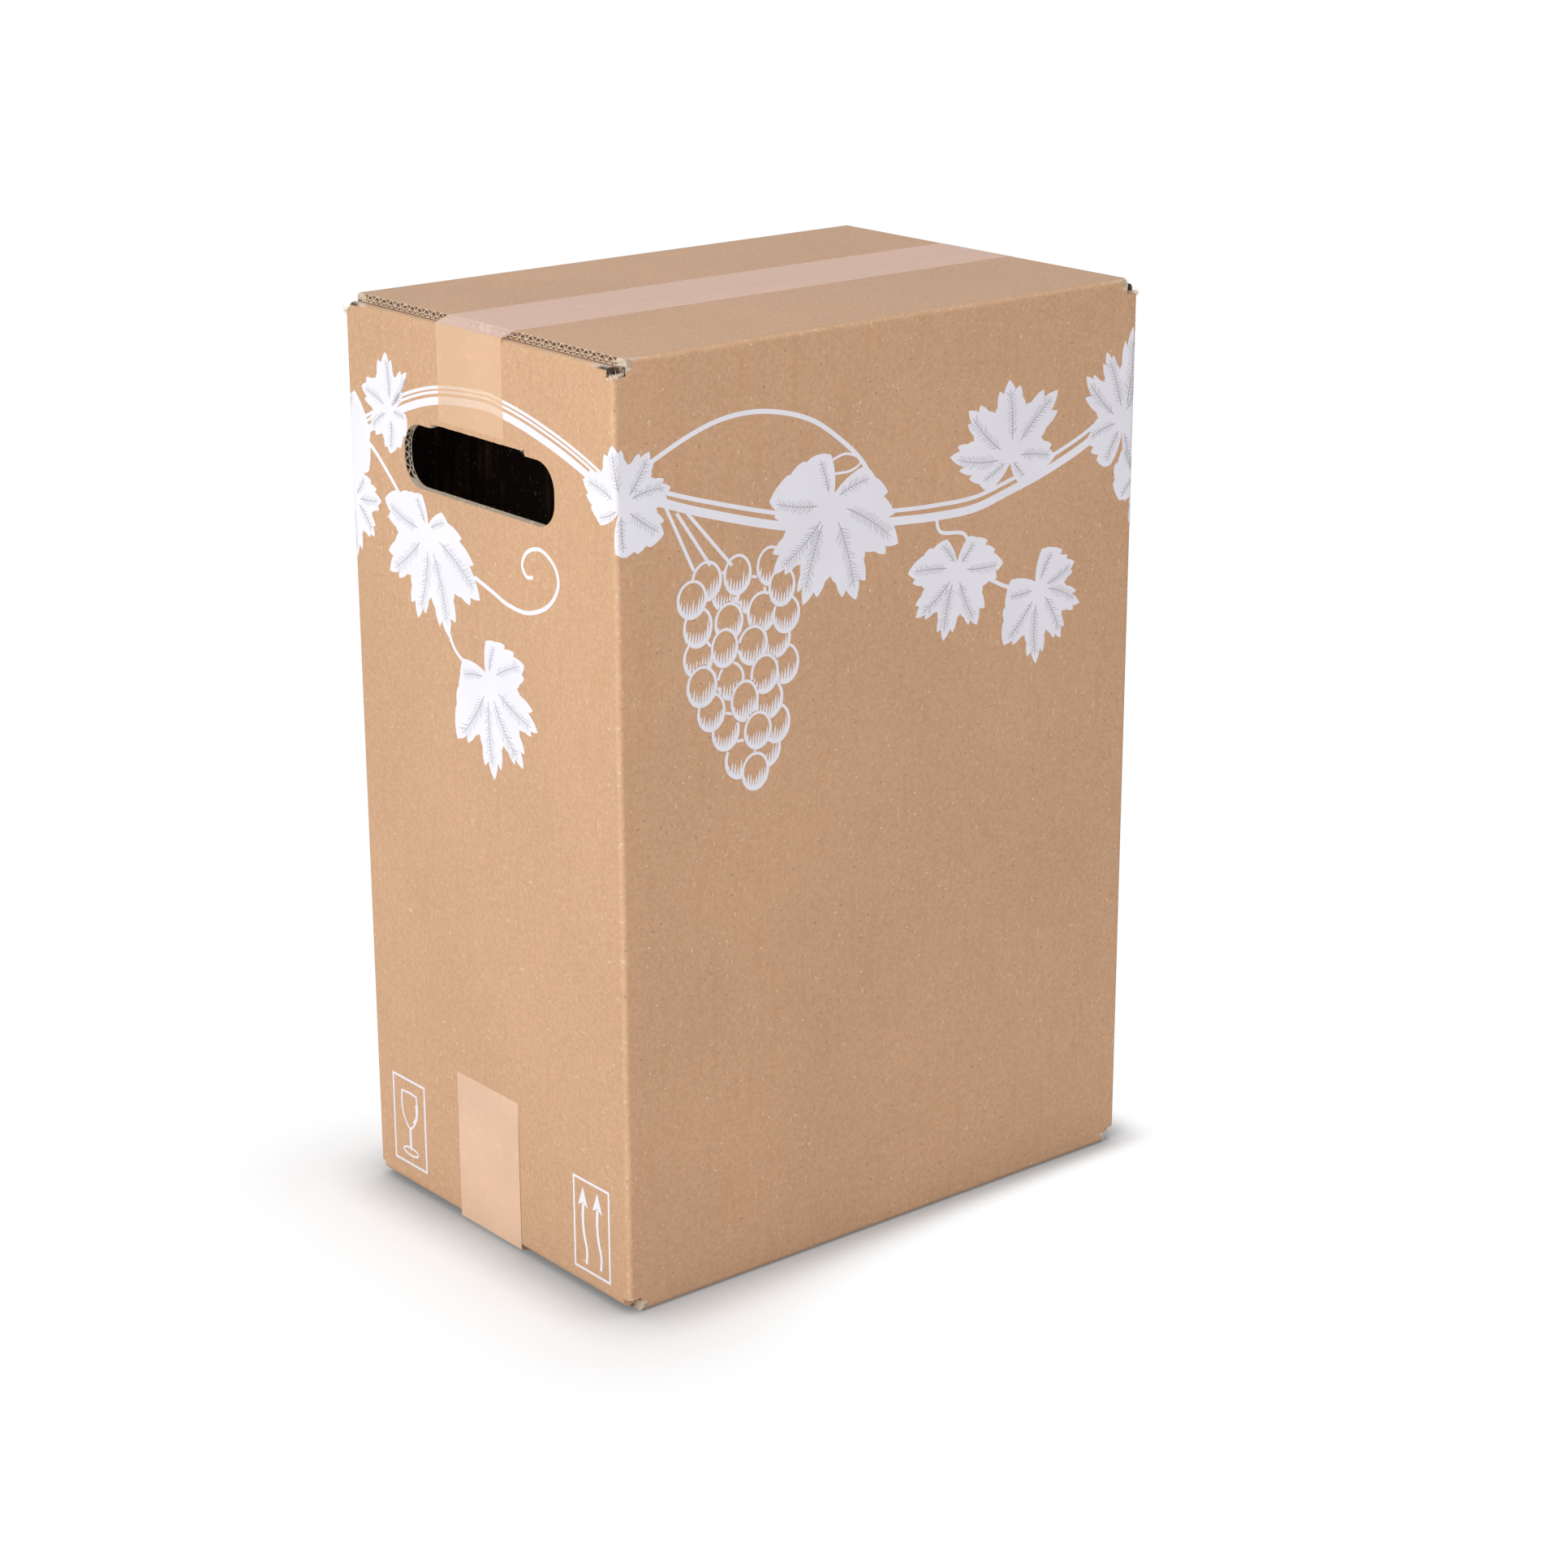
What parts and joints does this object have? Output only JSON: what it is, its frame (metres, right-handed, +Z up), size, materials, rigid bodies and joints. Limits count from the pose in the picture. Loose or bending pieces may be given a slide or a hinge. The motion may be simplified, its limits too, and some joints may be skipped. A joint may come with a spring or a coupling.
{
  "type": "wine shipping carton",
  "caption": "Upright taped shipping carton of corrugated board for wine bottles, with hand holes, a white printed vine garland and a slotted bottle divider.",
  "frame": {"origin": "centre of the base, on the surface that the carton stands on", "axes": "+Z up; X along the long walls, towards the end walls with the hand holes; Y across the width"},
  "size_m": [0.3082, 0.205, 0.4401],
  "materials": {
    "kraft_board": "matt brown kraft liner, printed white",
    "packing_tape": "thin translucent film, satin",
    "divider_board": "matt brown kraft liner"
  },
  "bodies": {
    "root": {"carton": "kraft_board", "tape_top": "packing_tape", "tape_bottom": "packing_tape", "divider_long": "divider_board", "divider_cross_1": "divider_board", "divider_cross_2": "divider_board"}
  },
  "joints": []
}
